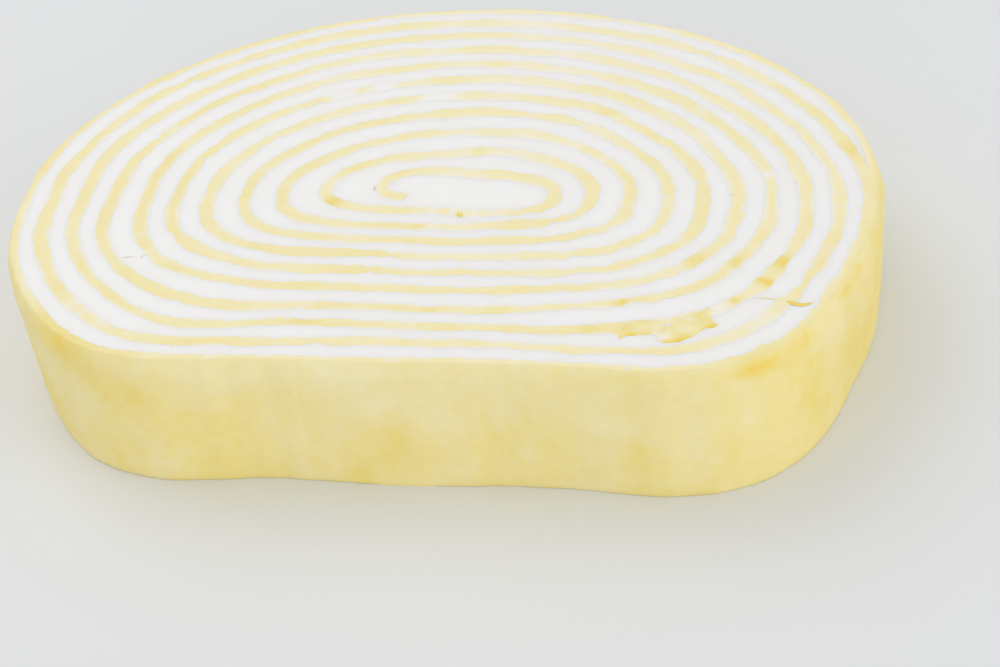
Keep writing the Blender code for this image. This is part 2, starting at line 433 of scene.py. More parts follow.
CREPE_STATION = 0.25 * MM
HEART_PIECE_END_TURN = 6.6  # the inner turns are two meshes that meet inside the roll
CutStep = namedtuple("CutStep", "inward height")
EDGE_STEPS = [CutStep(inward * MM, height * MM) for inward, height in (
    (0.00, -0.50), (0.04, -0.07), (0.14, -0.02), (0.28, 0.00),
)]
PLATEAU_SHARES = (0.36, 0.5, 0.64)
PLATEAU_HEIGHT = 0.012 * MM
UNDERSIDE_STEPS = [CutStep(0.0, 0.5 * MM), CutStep(0.15 * MM, 0.0)]
FRAYING = (Noise(6, 1.1 * MM, 0.10 * MM, 20.0), Noise(7, 0.42 * MM, 0.03 * MM, 30.0))
ROUGH_CORNER = Wave(328, 0.0, 17.0, math.inf, 1.5)  # torn more in the front right corner
EDGE_SMEAR = 0.24 * MM  # how far the knife drew the crepe's edges out over the cream
BACK_SMEAR = 0.10 * MM  # and how much farther at the back
FLAP_DRAWN_TURNS = (CLOSING_START_TURN + 0.025, CLOSING_END_TURN - 0.015)
FLAP_DEPTH = 1.35 * MM  # to where the flap's cut edge is drawn over the turn below
FLAP_RISE = 0.01 * MM
FLAP_SKIN = 0.75  # how much its cut edge has the wall's colour
CUT_GRAIN = (Noise(10, 0.7 * MM, 0.014 * MM), Noise(11, 0.28 * MM, 0.0098 * MM))

# Darker stretches of the crepe's cut edge: where, how long, and how brown (or pale, below 0)
Spot = namedtuple("Spot", "turn length amount")
SPOTS = [Spot(turn, length * MM, amount) for turn, length, amount in (
    (5.569, 2.2, 0.30), (7.553, 2.0, 0.42), (7.569, 1.1, 0.55), (6.561, 1.6, 0.30), (7.587, 1.3, 0.40),
    (8.583, 1.6, 0.18), (7.605, 1.6, 0.30), (7.630, 4.5, 0.24), (6.620, 3.0, 0.20), (6.6245, 1.2, 0.28),
    (1.833, 1.2, 0.26), (1.781, 1.5, 0.22), (0.973, 2.0, 0.38), (5.141, 1.3, 0.18), (4.363, 2.4, 0.20),
    (1.255, 1.4, 0.22), (6.247, 2.4, 0.20), (9.469, 3.0, 0.25), (7.653, 2.6, 0.16), (6.751, 1.6, 0.20),
    (6.699, 2.4, 0.18), (7.831, 2.0, 0.14), (0.755, 5.0, -0.10), (8.585, 4.0, -0.14),
    (9.903, 10.0, 0.28), (9.608, 5.0, 0.12),
)]

# Places where cream was drawn right across the crepe, or where none was left on it (below 0)
FILM_SPOTS = [Spot(turn, length * MM, amount) for turn, length, amount in (
    (7.5955, 2.1, 1.0), (7.6205, 0.8, 0.6), (6.6200, 0.7, 0.5), (5.5800, 0.9, 0.4), (0.8550, 0.8, 0.7),
    (0.7810, 0.7, 0.8), (0.6900, 0.8, 0.7), (0.6310, 1.8, 0.6), (0.5880, 0.8, 0.4), (8.5930, 3.0, 0.35),
    (8.5830, 2.0, 0.3), (5.1285, 2.8, 1.5), (5.1580, 2.6, 1.5), (4.1970, 3.6, 1.6), (1.8080, 1.2, 0.5),
    (1.7830, 0.7, 0.4), (8.9190, 1.6, 0.7), (8.9120, 1.0, 0.4), (8.9010, 1.2, 0.5), (6.8420, 1.0, 0.5),
    (5.9580, 0.8, 0.4), (6.4833, 1.2, 1.2), (9.9060, 13.0, -1.0), (9.6110, 16.0, -0.8),
)]
SPOT_FALLOFF = 0.7
FILM_WIDTH = 0.35 * MM
FILM_WIDTH_UNEVENNESS = [Noise(31, 2.5 * MM, 0.45, 51.0)]
FILM_DRAGS = [Noise(32, 2.4 * MM, 1.6, 53.0)]
FILM_DRAG_LEVEL = 0.992  # only what rises above it is seen
FILM_MIDDLE = 0.7  # how thick a spot is in the middle of the crepe, against its edges

CUT_BROWNING = 0.33
CUT_UNEVENNESS = (Noise(8, 9.0 * MM, 0.10, 41.0), Noise(9, 3.0 * MM, 0.08, 43.0))
SKIN_SIDE_BROWNING = 0.13  # the crepe's outer face is its browned one
BACK_PALENESS = 0.09
LEFT_BROWNING = 0.05


def ragged(turn, side):
    """How far a cut edge of the crepe is frayed back."""
    return noise_along(turn, FRAYING, side) * (1.0 + bump([ROUGH_CORNER], turn))


def closed_share(turn):
    """From 0 to 1 where the flap comes down on the turn below."""
    return smooth_step(*FLAP_DRAWN_TURNS, turn)


def crepe_edges(turn):
    """Offsets of the cut face's inner and outer edges, drawn out and frayed."""
    half = 0.5 * crepe_thickness(turn)
    drawn = EDGE_SMEAR + BACK_SMEAR * facing_back(turn)
    drawn_in = blend(drawn, FLAP_DEPTH - 2.0 * half, closed_share(turn))
    drawn_out = drawn * (1.0 - closed_share(turn + 1.0))
    return -half - drawn_in + ragged(turn, 0.0), half + drawn_out + ragged(turn, 1.0)


def spots_along(spots, turn):
    """Sum of the soft spots that lie near each point of the crepe."""
    length = length_at(turn)
    total = np.zeros_like(turn)
    for spot in spots:
        across = (length - length_at(spot.turn)) / (0.5 * spot.length)
        total += spot.amount * np.exp(-SPOT_FALLOFF * across * across)
    return total


def film(turn, offsets, inner, outer):
    """How much cream the knife left on the cut face: all round its edges, and in spots."""
    width = FILM_WIDTH * (1.0 + noise_along(turn, FILM_WIDTH_UNEVENNESS))[:, None]
    from_inner = (offsets - inner[:, None]) / width
    from_outer = (outer[:, None] - offsets) / width
    inner_edge = (1.0 - smooth_step(0.0, 1.0, from_inner)) * (1.0 - closed_share(turn))[:, None]
    outer_edge = (1.0 - smooth_step(0.0, 1.0, from_outer)) * (1.0 - closed_share(turn + 1.0))[:, None]
    drags = np.maximum(noise_along(turn, FILM_DRAGS) - FILM_DRAG_LEVEL, 0.0)
    spots = (spots_along(FILM_SPOTS, turn) + drags)[:, None]
    share = np.maximum(inner_edge, outer_edge)
    return np.clip(share + spots * blend(FILM_MIDDLE, 1.0, share), 0.0, 1.0)


def cut_browning(turn, across):
    """How brown the cut edge is, from its inner face (across 0) to its outer one (1)."""
    facing_left = np.maximum(-np.cos(angle_of_turn(turn)), 0.0)
    side = SKIN_SIDE_BROWNING * (across - 0.5) * (0.5 + facing_front(turn))
    base = CUT_BROWNING - BACK_PALENESS * facing_back(turn) + LEFT_BROWNING * facing_left
    return base + noise_along(turn, CUT_UNEVENNESS) + side + spots_along(SPOTS, turn)


def section(inner, outer):
    """Offsets and heights of the points round the crepe, over its cut face and back under it."""
    over = [inner + step.inward for step in EDGE_STEPS]
    over += [blend(inner, outer, share) for share in PLATEAU_SHARES]
    over += [outer - step.inward for step in EDGE_STEPS[::-1]]
    under = [outer - step.inward for step in UNDERSIDE_STEPS]
    under += [inner + step.inward for step in UNDERSIDE_STEPS[::-1]]
    edge = [SLICE_HEIGHT + step.height for step in EDGE_STEPS]
    plateau = [SLICE_HEIGHT + PLATEAU_HEIGHT] * len(PLATEAU_SHARES)
    foot = [step.height for step in UNDERSIDE_STEPS]
    return np.stack(over + under, axis=1), np.array(edge + plateau + edge[::-1] + foot + foot[::-1])


def cut_grain(points):
    """Fine unevenness of the crepe's cut face."""
    return noise_at(points * FLAT, CUT_GRAIN)


def crepe_rings(turn):
    """Closed sections of the crepe where it has cream on both sides."""
    inner, outer = crepe_edges(turn)
    offsets, heights = section(inner, outer)
    rings = beside_line(turn, offsets, heights)
    top = 2 * len(EDGE_STEPS) + len(PLATEAU_SHARES)
    rings[:, :top, 2] += cut_grain(rings[:, :top])
    across = (offsets - inner[:, None]) / (outer - inner)[:, None]
    cream = film(turn, offsets, inner, outer)
    cream[:, top:] = 0.0
    return rings, {"browning": cut_browning(turn[:, None], across), "film": cream}


def stations(start, end, spacing):
    """Turns at an even spacing along the crepe."""
    count = int(math.ceil((length_at(end) - length_at(start)) / spacing)) + 1
    return turn_at(np.linspace(length_at(start), length_at(end), count))


def make_inner_crepe(name, start, end, surface):
    rings, looks = crepe_rings(stations(start, end, CREPE_STATION))
    made = make_tube(name, rings, surface, looks)
    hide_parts("crepe")


# ---- the outer turn and its wall

WALL_STATION = 0.23 * MM
WALL_ROWS = 44
ROW_CROWDING = 0.5  # how much closer together the rows are near both cut faces
RIM_SHARES = (0.3, 0.6, 0.85)
SKIN_DEPTH = 0.9 * MM  # the cut face's colour turns into the wall's over this depth
RIM_SKIN = 0.55  # how much its rounded rim already has the wall's colour
RIM_SKIN_ACROSS = (0.3, 0.9)  # where that begins and is whole, across the cut edge
FLAP_SKIN_ACROSS = (0.0, 0.8)  # and so for the flap
WALL_TOP_ROUNDNESS = 1.9
WALL_FOOT_HEIGHT = 0.9 * MM
WALL_FOOT_ROUNDNESS = 2.2
WALL_DENTS = [Noise(12, 9.0 * MM, 0.13 * MM)]
WALL_WRINKLES = [Noise(13, 2.4 * MM, 0.05 * MM)]
WALL_GRAIN = [Noise(14, 0.8 * MM, 0.018 * MM)]
UPRIGHT = np.array([1.0, 1.0, 0.35])  # stretches noise upward
RELIEF_FADE = 1.6 * MM  # from the wall's edges
CREASE_FADE = 4.0 * MM
EDGE_GRAIN = 0.3  # how much grain is left there

# Upright creases in the wall: the angle, how wide and how high each stands out
CREASES = [Wave(angle, 0.0, spread, math.inf, height * MM) for angle, spread, height in (
    (357.0, 0.354, 0.07), (355.3, 0.389, 0.08), (353.4, 0.354, 0.09), (351.6, 0.389, 0.07),
    (349.6, 0.424, 0.05), (205.0, 0.424, -0.08), (247.0, 0.354, -0.05), (298.0, 0.424, -0.05),
)]

# Golden and pale patches of the wall: angle, height, half width, half height, and browning
PATCH_SPREAD = math.sqrt(5.0 / 7.0)  # against its half width
PATCH_SHAPE = np.array([1.0, MM, PATCH_SPREAD, PATCH_SPREAD * MM, 1.0])
PATCHES = [Wave(*(PATCH_SHAPE * patch)) for patch in (
    (320.5, 14.6, 3.4, 0.9, 0.36), (328.3, 14.8, 1.8, 1.2, 0.24), (340.0, 14.8, 1.4, 0.7, 0.18),
    (344.3, 14.9, 1.0, 0.7, 0.18), (323.0, 12.0, 7.0, 2.2, 0.12), (215.0, 15.0, 4.6, 1.8, 0.29),
    (207.0, 14.6, 3.4, 1.6, 0.10), (222.0, 12.0, 5.0, 1.8, 0.10), (234.0, 8.0, 5.0, 2.4, 0.10),
    (250.0, 11.0, 6.0, 1.6, 0.06), (262.0, 6.0, 7.0, 3.0, 0.12), (284.0, 7.0, 6.0, 2.6, 0.10),
    (296.0, 6.5, 4.0, 3.0, 0.12), (307.0, 5.0, 4.0, 2.8, 0.08), (340.0, 5.0, 14.0, 5.0, 0.04),
    (337.0, 11.8, 1.6, 1.8, -0.16), (333.0, 12.4, 1.4, 1.2, -0.12), (329.0, 8.6, 3.0, 1.6, 0.12),
    (350.0, 8.5, 14.0, 8.0, 0.17), (205.0, 7.0, 14.0, 9.0, 0.06), (262.0, 14.6, 30.0, 1.6, -0.09),
    (20.0, 9.0, 12.0, 3.0, 0.10), (75.0, 7.0, 10.0, 3.5, 0.12), (130.0, 9.5, 9.0, 3.0, 0.10),
    (170.0, 6.0, 8.0, 3.0, 0.12),
)]
WALL_BROWNING = 0.50
WALL_MOTTLE = (Noise(15, 5.0 * MM, 0.10), Noise(16, 2.2 * MM, 0.06), Noise(17, 0.9 * MM, 0.045))
# The wall is darker and more golden towards its foot.
WALL_FOOT_DARKENING = 0.06
WALL_LOW = (9.0 * MM, 2.0 * MM)  # where that begins and is whole


def wall_heights():
    """Heights of the points down the wall, closer together near both cut faces."""
    share = np.linspace(0.0, 1.0, WALL_ROWS)
    share = share - ROW_CROWDING * np.sin(2.0 * math.pi * share) / (2.0 * math.pi)
    return SLICE_HEIGHT * (1.0 - share)


def wall_stand(turn, height):
    """How far the wall stands out from the crepe's outer face: a row for each turn."""
    upper = np.clip((height - WALL_HIGH) / (SLICE_HEIGHT - WALL_HIGH), 0.0, 1.0)
    lower = np.clip(1.0 - height / WALL_FOOT_HEIGHT, 0.0, 1.0)
    top = (WALL_SWELL + WALL_EDGE_ROUNDING) * upper ** WALL_TOP_ROUNDNESS
    foot = WALL_FOOT_ROUNDING * lower ** WALL_FOOT_ROUNDNESS
    leaning = np.clip(1.0 - height / WALL_HIGH, 0.0, 1.0)
    return WALL_SWELL - top - foot + bump(LEANS, turn)[:, None] * leaning


def lip_stand(height):
    """How far the frayed edge of the cut face draws in, where cream still covers the wall."""
    inward, level = np.array(EDGE_STEPS[::-1]).T
    return -np.interp(SLICE_HEIGHT - height, -level, inward)


def wall_relief(points, turn, height):
    """Dents, soft wrinkles, creases and grain of the wall, which fade toward its edges."""
    edge = np.minimum(height, SLICE_HEIGHT - height)
    inside = smooth_step(0.0, RELIEF_FADE, edge)
    dents = noise_at(points, WALL_DENTS) + noise_at(points * UPRIGHT, WALL_WRINKLES)
    creases = bump(CREASES, turn) * smooth_step(0.0, CREASE_FADE, edge)
    return dents * inside + creases + noise_at(points, WALL_GRAIN) * blend(EDGE_GRAIN, 1.0, inside)


def wall_browning(points, turn, height):
    low = WALL_FOOT_DARKENING * smooth_step(*WALL_LOW, height)
    return WALL_BROWNING + noise_at(points, WALL_MOTTLE) + low + bump(PATCHES, turn, height)


def lip_of_wall(inner, outer, bare):
    """Offsets and heights across the outer turn's cut face, up to its rounded rim."""
    thin = smooth_step(0.0, CREPE_THICKNESS, outer - inner)
    offsets = [inner + step.inward * thin for step in EDGE_STEPS]
    heights = [SLICE_HEIGHT + step.height for step in EDGE_STEPS]
    rim = outer - bare * WALL_EDGE_ROUNDING
    offsets += [blend(offsets[-1], rim, share) for share in RIM_SHARES]
    heights += [SLICE_HEIGHT + PLATEAU_HEIGHT * (1.0 - share) for share in RIM_SHARES]
    foot = [blend(inner, outer, 0.5), inner + UNDERSIDE_STEPS[1].inward * thin, inner]
    return np.stack(offsets, 1), heights, np.stack(foot, 1)


def make_outer_crepe(surface):
    """The outer turn with the swollen wall, down to the flap that closes the roll."""
    turn = stations(OUTER_PIECE_START_TURN, OUTER_END_TURN, WALL_STATION)
    bare = bareness(turn)
    inner, outer = crepe_edges(turn)
    outer = blend(outer, 0.5 * crepe_thickness(turn), bare)
    lip, lip_heights, foot = lip_of_wall(inner, outer, bare)
    foot_heights = [0.0] + [step.height for step in UNDERSIDE_STEPS[::-1]]
    bare = bare[:, None]

    wall_high = wall_heights()
    wall = outer[:, None] + bare * wall_stand(turn, wall_high) + (1.0 - bare) * lip_stand(wall_high)
    offsets = np.concatenate([lip, wall, foot], axis=1)
    heights = np.concatenate([lip_heights, wall_high, foot_heights])
    turns = np.broadcast_to(turn[:, None], offsets.shape)
    top = len(lip_heights)
    on_wall = slice(top, top + WALL_ROWS)
    smooth = beside_line(turn, offsets, heights)
    offsets[:, on_wall] += wall_relief(smooth[:, on_wall], turns[:, on_wall], wall_high) * bare
    points = beside_line(turn, offsets, heights)
    points[:, :top, 2] += cut_grain(points[:, :top]) + FLAP_RISE * closed_share(turn)[:, None]

    across = (offsets - inner[:, None]) / (outer - inner)[:, None]
    browning = cut_browning(turns, np.clip(across, 0.0, 1.0))
    skin = FLAP_SKIN * closed_share(turns) * smooth_step(*FLAP_SKIN_ACROSS, across)
    skin = np.maximum(skin, RIM_SKIN * bare * smooth_step(*RIM_SKIN_ACROSS, across))
    depth = smooth_step(0.0, SKIN_DEPTH, SLICE_HEIGHT - wall_high)
    skin[:, on_wall] = bare * blend(RIM_SKIN, 1.0, depth)
    browning = blend(browning, wall_browning(points, turns, heights), skin)
    beyond_rim = WALL_SWELL + MM  # so that the wall's edge has no film of cream
    cream = film(turn, offsets, inner, outer + bare[:, 0] * beyond_rim)
    cream[:, top:] = 0.0
    made = make_tube("crepe_outer_turn", points, surface, {"browning": browning, "film": cream})
    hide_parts("crepe")


# ---- the cream

CREAM_STATION = 0.42 * MM
CREAM_END_TURN = 9.489  # just under the flap
CREAM_TUCK = 0.42 * MM  # how far the cream reaches into the crepe's frayed edge
CREAM_LEVEL = -0.02 * MM
CREAM_SHARES = (0.0, 0.03, 0.09, 0.2, 0.35, 0.5, 0.65, 0.8, 0.91, 0.97, 1.0)
CREAM_END_ANGLE = math.radians(50.0)
HEART_GRID = 0.7 * MM
WELD_DISTANCE = 0.001 * MM
CREAM_SWELLS = (Noise(21, 4.5 * MM, 0.022 * MM), Noise(22, 1.1 * MM, 0.009 * MM))
KNIFE_MARKS = [Noise(23, 0.45 * MM, 0.009 * MM)]
KNIFE_STRETCH = np.array([0.05625, 1.0, 0.0])  # the knife was drawn sideways


def cream_relief(points):
    """Soft swells, fine grain and faint knife marks of the cream's cut face."""
    return noise_at(points * FLAT, CREAM_SWELLS) + noise_at(points * KNIFE_STRETCH, KNIFE_MARKS)


def crepe_side(turn, outward):
    """Where the cream ends in one face of the crepe, outer (+1) or inner (-1)."""
    reach_in = 0.5 * crepe_thickness(turn) - CREAM_TUCK
    return beside_line(turn, outward * reach_in[:, None], 0.0)[:, 0]


def cream_strip():
    """Closed sections of the cream's spiral, from the heart to where the flap closes it."""
    turn = stations(INNER_END_TURN + 1.0, CREAM_END_TURN + 1.0, CREAM_STATION) - 1.0
    inner = crepe_side(turn, 1)
    outer = crepe_side(turn + 1.0, -1)
    shares = np.array(CREAM_SHARES + CREAM_SHARES[::-1])
    rings = inner[:, None] + shares[:, None] * (outer - inner)[:, None]
    top = len(CREAM_SHARES)
    rings[:, :top, 2] = SLICE_HEIGHT + CREAM_LEVEL
    rings[:, :top, 2] += cream_relief(rings[:, :top])
    return rings


def heart_body(strip):
    """Points and faces of the heart, which meets the strip's first section."""
    turn = stations(INNER_END_TURN, INNER_END_TURN + 1.0, CREAM_STATION)
    border = np.concatenate([crepe_side(turn, -1)[:-1], strip[0, :len(CREAM_SHARES)][::-1]])
    points, faces, _ = filled_outline(border[:, :2], HEART_GRID)
    points[:, 2] = np.where(points[:, 2] > 0.0, SLICE_HEIGHT + CREAM_LEVEL, 0.0)
    top = points[:, 2] > 0.0
    points[top, 2] += cream_relief(points[top])
    return points, faces


def open_at(section, points, faces):
    """The faces that don't lie in an upright section."""
    start, end = section[0, :2], section[len(CREAM_SHARES) - 1, :2]
    run = (end - start) / np.linalg.norm(end - start)
    from_start = points[:, :2] - start
    beside = np.abs(from_start @ np.array([-run[1], run[0]]))
    share = from_start @ run / np.linalg.norm(end - start)
    inside = (beside < WELD_DISTANCE) & (np.abs(share - 0.5) < 0.5 + WELD_DISTANCE)
    return [face for face in faces if not inside[face].all()]


def weld(mesh):
    """Join the points of a mesh that lie in the same place."""
    edited = bmesh.new()
    edited.from_mesh(mesh)
    bmesh.ops.remove_doubles(edited, verts=edited.verts, dist=WELD_DISTANCE)
    edited.to_mesh(mesh)
    edited.free()


def make_cream(surface):
    """The heart and the spiral of cream, in one where they meet."""
    strip = cream_strip()
    points, faces = joined([tube_of(strip), heart_body(strip)])
    made = make_mesh("cream_layers", points, open_at(strip[0], points, faces), surface)
    weld(made.data)
    made.data.set_sharp_from_angle(angle=CREAM_END_ANGLE)
    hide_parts("cream")


# ---- smears, flakes and crumbs

LUMP_GRID = 0.16 * MM
LUMP_SINK = 0.10 * MM
LUMP_ROOT = 0.5 * MM
LUMP_UNEVENNESS = 0.35
LUMP_SIZE = 0.6 * MM

# Cream that the knife drew over the crepe: place, size, direction in degrees and height
Smear = namedtuple("Smear", "x y length width direction height")
SMEARS = (
    Smear(24.3 * MM, -22.9 * MM, 1.4 * MM, 1.0 * MM, -25, 0.24 * MM),
    Smear(23.6 * MM, -24.1 * MM, 1.2 * MM, 0.9 * MM, 20, 0.20 * MM),
)
SMEAR_SPOKES = 40
SMEAR_EDGE_SHARE = 0.5  # of its width, over which a smear rises
SMEAR_FRAYING = ((0.7, 0.26), (0.3, 0.12))  # sizes and amounts, on a circle of radius 1
SMEAR_OUTLINE_SEED = 50
SMEAR_LUMP_SEED = 90

# The torn flake of crepe that lies on its fold, by the corners of its outline in mm
FLAKE = (
    (19.4, -25.0), (19.7, -23.4), (20.2, -22.5), (21.3, -21.9), (22.6, -22.2), (23.5, -21.9),
    (24.7, -21.3), (25.6, -21.5), (26.4, -21.6), (27.0, -20.8), (27.7, -19.8), (28.3, -19.6),
    (28.6, -20.9), (28.8, -21.7), (29.4, -22.4), (29.0, -23.1), (28.0, -23.3), (27.4, -24.0),
    (26.3, -25.1), (25.1, -25.6), (23.8, -25.6), (23.3, -25.0), (22.9, -24.4), (21.6, -24.6),
    (20.3, -24.9), (19.7, -25.3),
)
FLAKE_CURVE_POINTS = 148
FLAKE_HEIGHT = 0.10 * MM
FLAKE_EDGE = 0.4 * MM
FLAKE_LUMP_SEED = 140
FLAKE_BROWNING = 0.48
FLAKE_RIM_BROWNING_AND_SHADE = 0.36  # along the edges that face the front: partly browning, partly painted shade on the side turned from the light
FLAKE_RIM_WIDTH = 0.9 * MM
FLAKE_FRAYING = (Noise(130, 0.35 * MM, 0.10 * MM), Noise(134, 0.35 * MM, 0.10 * MM))
FLAKE_PATCHINESS = [Noise(150, 1.3 * MM, 0.26)]
FLAKE_FILM = (Noise(160, 1.6 * MM, 1.6), Noise(170, 0.7 * MM, 0.8))
FLAKE_FILM_LEVEL = 0.56  # only what rises above it is seen

# Slivers, in mm: points along each, its half width in the middle, its height, and its browning
Sliver = namedtuple("Sliver", "path half_width height browning", defaults=(0.0,))
CREPE_SLIVERS = (
    Sliver(((32.4, -18.2), (33.6, -18.1), (34.7, -18.3), (35.7, -18.55)), 0.09, 0.04, 0.45),
    Sliver(((35.6, -18.5), (36.0, -18.7), (36.6, -19.0), (37.2, -19.15), (37.8, -19.0), (38.4, -18.6)),
           0.27, 0.06, 0.86),
)
BROWN_SLIVERS = (
    Sliver(((-35.4, -13.55), (-34.9, -13.3), (-34.2, -13.2)), 0.05, 0.04),
    Sliver(((-33.5, -13.5), (-33.25, -13.1), (-33.0, -12.9)), 0.045, 0.04),
    Sliver(((-10.3, 0.4), (-10.4, -0.1), (-10.25, -0.5)), 0.10, 0.04),
    Sliver(((28.9, -0.4), (29.1, -0.5), (29.3, -0.6)), 0.035, 0.05),
    Sliver(((35.6, 2.3), (35.65, 2.15), (35.7, 2.0)), 0.03, 0.05),
)
SLIVER_SIDES = 8
SLIVER_ROWS = 22
SLIVER_SMOOTHING = (0.25, 0.5, 0.25)
SLIVER_SMOOTHINGS = 3
SLIVER_TIP = 0.02  # where its pointed ends are cut short
SLIVER_FULLNESS = 0.7  # below 1 it is full almost to its ends
SLIVER_RISE = 0.4  # of its height, from the cut face to its middle
SLIVER_UNEVENNESS = [Noise(160, 0.1, 0.2)]  # against a length of 1

CRUMBS = 48
CRUMB_SEED = 47
CRUMB_TURNS = (0.3, 9.4)
CRUMB_SPREAD = 0.16 * MM  # how far they lie from the crepe's edge
CRUMB_OVERLAP = 0.06 * MM
CRUMB_SIZES = (0.08 * MM, 0.20 * MM)
CRUMB_LENGTHS = (0.35, 0.6)  # against its size
CRUMB_WIDTHS = (0.3, 0.5)
CRUMB_THICKNESS = 0.25
CRUMB_RISE = 0.12
CRUMB_UNEVENNESS = [Noise(170, 0.7, 0.3)]
CRUMB_BROWNING = (0.20, 0.42)
CRUMB_SIDES = 8
CRUMB_BANDS = 6
ORANGE_PLACE = MM * np.array([0.05, -4.85, 0.0])
ORANGE_SIZE = 0.85 * MM
ORANGE_BROWNING = 0.76


def closed_curve(corners, count):
    """A smooth closed line through the corners of an outline, as count points."""
    corners = np.asarray(corners)
    n = len(corners)
    at = np.linspace(0.0, n, count, endpoint=False)
    low = np.floor(at).astype(int)
    part = (at - low)[:, None]
    before, start, end, after = (corners[(low + k) % n] for k in (-1, 0, 1, 2))
    linear = end - before
    square = 2.0 * before - 5.0 * start + 4.0 * end - after
    cube = 3.0 * (start - end) + after - before
    return 0.5 * (2.0 * start + linear * part + square * part ** 2 + cube * part ** 3)


def lump(outline, height, edge, seed):
    """Points and faces of a low lump on the cut face, inside an outline."""
    points, faces, depth = filled_outline(outline, LUMP_GRID)
    rise = smooth_step(0.0, edge, np.tile(depth, 2))
    bumps = 1.0 + noise_at(points * FLAT, [Noise(seed, LUMP_SIZE, LUMP_UNEVENNESS)])
    top = (height * bumps + LUMP_SINK) * rise - LUMP_SINK
    points[:, 2] = SLICE_HEIGHT + np.where(points[:, 2] > 0.0, top, -LUMP_ROOT)
    return points + MIDDLE, faces


def smear_outline(smear, seed):
    """A ragged oval."""
    angle = np.linspace(0.0, 2.0 * math.pi, SMEAR_SPOKES, endpoint=False)
    circle = np.stack([np.cos(angle), np.sin(angle), np.zeros_like(angle)], axis=-1)
    layers = [Noise(seed + k, size, amount) for k, (size, amount) in enumerate(SMEAR_FRAYING)]
    uneven = 1.0 + noise_at(circle, layers)
    wide = 0.5 * smear.length * np.cos(angle) * uneven
    high = 0.5 * smear.width * np.sin(angle) * uneven
    turned = math.radians(smear.direction)
    x = smear.x + wide * math.cos(turned) - high * math.sin(turned)
    y = smear.y + wide * math.sin(turned) + high * math.cos(turned)
    return np.stack([x, y], axis=-1)


def make_smears(surface):
    parts = []
    for k, smear in enumerate(SMEARS):
        outline = smear_outline(smear, SMEAR_OUTLINE_SEED + k)
        parts.append(lump(outline, smear.height, SMEAR_EDGE_SHARE * smear.width, SMEAR_LUMP_SEED + k))
    points, faces = joined(parts)
    made = make_mesh("cream_smears", points, faces, surface)


def make_flake(surface):
    """The torn flake of crepe, browner along the edges that face the front, partly its browning and
    partly painted shade.
    """
    outline = closed_curve(np.array(FLAKE) * MM, FLAKE_CURVE_POINTS)
    flat = np.column_stack([outline, np.zeros(len(outline))])
    outline = outline + np.stack([noise_at(flat, [layer]) for layer in FLAKE_FRAYING], axis=-1)
    points, faces = lump(outline, FLAKE_HEIGHT, FLAKE_EDGE, FLAKE_LUMP_SEED)
    in_front = (points - MIDDLE)[:, :2] - np.array([0.0, FLAKE_RIM_WIDTH])
    outside = np.where(contains(outline, in_front), 0.0, 1.0)
    rim = outside * smooth_step(0.0, FLAKE_RIM_WIDTH, depth_inside(outline, in_front))
    # The band along the front edges is partly browning and partly painted shade, where the flake's
    # front side turns from the light.
    browning = FLAKE_BROWNING + FLAKE_RIM_BROWNING_AND_SHADE * rim + noise_at(points, FLAKE_PATCHINESS)
    cream = np.clip(noise_at(points, FLAKE_FILM) - FLAKE_FILM_LEVEL, 0.0, 1.0)
    made = make_mesh("torn_flakes", points, faces, surface, {"browning": browning, "film": cream})


def smoothed(path):
    """A sliver's path as evenly counted points, with its corners rounded."""
    at = np.linspace(0.0, len(path) - 1.0, SLIVER_ROWS)
    line = np.stack([np.interp(at, np.arange(len(path)), path[:, k]) for k in range(2)])
    for _ in range(SLIVER_SMOOTHINGS):
        line[:, 1:-1] = [np.convolve(row, SLIVER_SMOOTHING, "valid") for row in line]
    return line


def sliver(shape):
    """Points and faces of a thin curved sliver, pointed at both ends, half sunk in the cut face."""
    x, y = smoothed(np.array(shape.path) * MM)
    share = np.linspace(0.0, 1.0, SLIVER_ROWS)
    size = np.sin(math.pi * np.clip(share, SLIVER_TIP, 1.0 - SLIVER_TIP)) ** SLIVER_FULLNESS
    size = (size * (1.0 + noise_at(along(share), SLIVER_UNEVENNESS)))[:, None]
    across = np.stack([-np.gradient(y), np.gradient(x)], axis=-1)
    across /= np.linalg.norm(across, axis=1)[:, None]
    angle = np.linspace(0.0, 2.0 * math.pi, SLIVER_SIDES, endpoint=False)
    wide = shape.half_width * MM * size * np.cos(angle)
    high = SLICE_HEIGHT + shape.height * MM * size * (SLIVER_RISE + np.sin(angle))
    rings = [x[:, None] + wide * across[:, :1], y[:, None] + wide * across[:, 1:], high]
    return tube_of(np.stack(rings, axis=-1) + MIDDLE)


def make_slivers(name, shapes, surface):
    parts = [sliver(shape) for shape in shapes]
    points, faces = joined(parts)
    browning = np.concatenate([np.full(len(p), s.browning) for (p, _), s in zip(parts, shapes)])
    made = make_mesh(name, points, faces, surface, {"browning": browning})


def round_ball():
    """Points and faces of a ball of radius 1, to squeeze into crumbs."""
    tilt = np.linspace(0.0, math.pi, CRUMB_BANDS + 1)[1:-1, None]
    turn = np.linspace(0.0, 2.0 * math.pi, CRUMB_SIDES, endpoint=False)
    rings = [np.sin(tilt) * np.cos(turn), np.sin(tilt) * np.sin(turn), np.cos(tilt) + 0.0 * turn]
    points, faces = tube_of(np.stack(rings, axis=-1))
    quads = [face[-1:] + face[:-1] for face in faces[:-2]]  # each is split at its first corner
    fans = [
        [corner, following, pole]
        for pole, ring in enumerate(faces[-2:], len(points))
        for corner, following in zip(ring, ring[1:] + ring[:1])
    ]
    return np.concatenate([points, [[0.0, 0.0, 1.0], [0.0, 0.0, -1.0]]]), quads + fans


